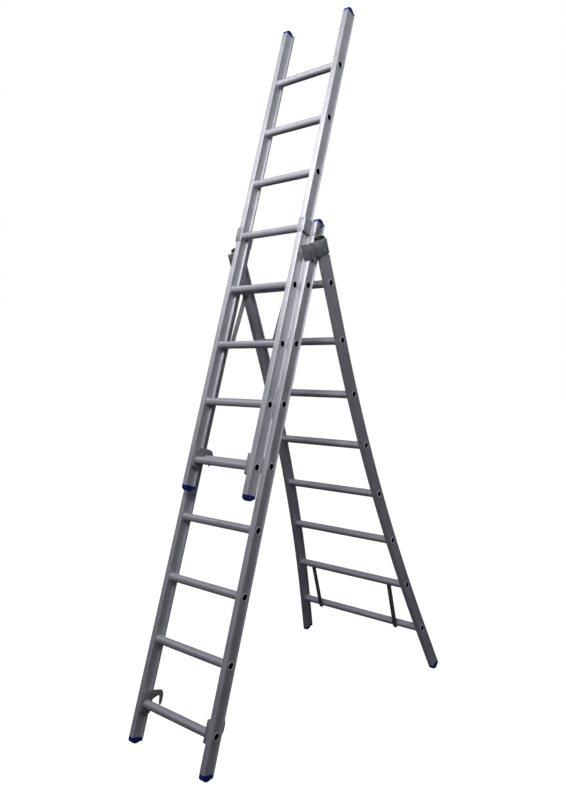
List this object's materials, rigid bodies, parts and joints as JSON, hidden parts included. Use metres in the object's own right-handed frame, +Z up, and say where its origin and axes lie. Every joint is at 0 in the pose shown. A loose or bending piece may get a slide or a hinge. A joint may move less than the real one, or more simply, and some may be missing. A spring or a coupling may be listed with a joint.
{
  "type": "combination ladder",
  "caption": "Free-standing aluminium combination ladder: an A-frame with a raised upper run, blue end caps and a rear section that flares to the floor.",
  "frame": {"origin": "on the floor, under the middle of the standing ladder's bounding box", "axes": "+Z up, X along the rungs, -Y towards the climbing side, +Y towards the rear section"},
  "size_m": [0.933, 1.623, 3.4167],
  "materials": {
    "aluminium": "extruded, satin, faint lengthwise drawing lines",
    "blue_plastic": "moulded, fine grain",
    "black_plastic": "moulded, fine grain",
    "dark_steel": "dark grey coated steel and castings",
    "zinc_steel": "zinc plated, satin"
  },
  "bodies": {
    "middle_section": {"buffer_left": "black_plastic", "buffer_right": "black_plastic", "guide_bolt_left": "zinc_steel", "guide_bolt_right": "zinc_steel", "guide_left": "zinc_steel", "guide_right": "zinc_steel", "hinge_bolt_left": "dark_steel", "hinge_bolt_right": "dark_steel", "middle_foot_left": "blue_plastic", "middle_foot_right": "blue_plastic", "middle_hook_left": "dark_steel", "middle_hook_right": "dark_steel", "middle_rung_1": "aluminium", "middle_rung_2": "aluminium", "middle_rung_3": "aluminium", "middle_rung_4": "aluminium", "middle_rung_5": "aluminium", "middle_rung_6": "aluminium", "middle_rung_7": "aluminium", "middle_rung_8": "aluminium", "middle_stay_left": "dark_steel", "middle_stay_right": "dark_steel", "middle_stile_left": "aluminium", "middle_stile_right": "aluminium", "middle_top_cap_left": "blue_plastic", "middle_top_cap_right": "blue_plastic"},
    "upper_section": {"upper_bottom_cap_left": "blue_plastic", "upper_bottom_cap_right": "blue_plastic", "upper_hook_left": "dark_steel", "upper_hook_right": "dark_steel", "upper_rung_1": "aluminium", "upper_rung_2": "aluminium", "upper_rung_3": "aluminium", "upper_rung_4": "aluminium", "upper_rung_5": "aluminium", "upper_rung_6": "aluminium", "upper_rung_7": "aluminium", "upper_rung_8": "aluminium", "upper_stile_left": "aluminium", "upper_stile_right": "aluminium", "upper_top_cap_left": "blue_plastic", "upper_top_cap_right": "blue_plastic"},
    "rear_section": {"hinge_bracket_left": "dark_steel", "hinge_bracket_right": "dark_steel", "rear_foot_left": "blue_plastic", "rear_foot_right": "blue_plastic", "rear_rung_1": "aluminium", "rear_rung_2": "aluminium", "rear_rung_3": "aluminium", "rear_rung_4": "aluminium", "rear_rung_5": "aluminium", "rear_rung_6": "aluminium", "rear_rung_7": "aluminium", "rear_rung_8": "aluminium", "rear_stay_left": "dark_steel", "rear_stay_right": "dark_steel", "rear_stile_left": "aluminium", "rear_stile_right": "aluminium", "rear_top_cap_left": "black_plastic", "rear_top_cap_right": "black_plastic"}
  },
  "joints": [
    {"name": "rear_section_hinge", "type": "hinge", "parent": "middle_section", "child": "rear_section", "pos_m": [0, -0.12719, 2.16008], "axis": [1, 0, 0], "range_deg": [-36.9, 0]},
    {"name": "upper_section_slide", "type": "slide", "parent": "middle_section", "child": "upper_section", "axis": [0, 0.2924, 0.9563], "range_m": [0, 0.2]}
  ]
}
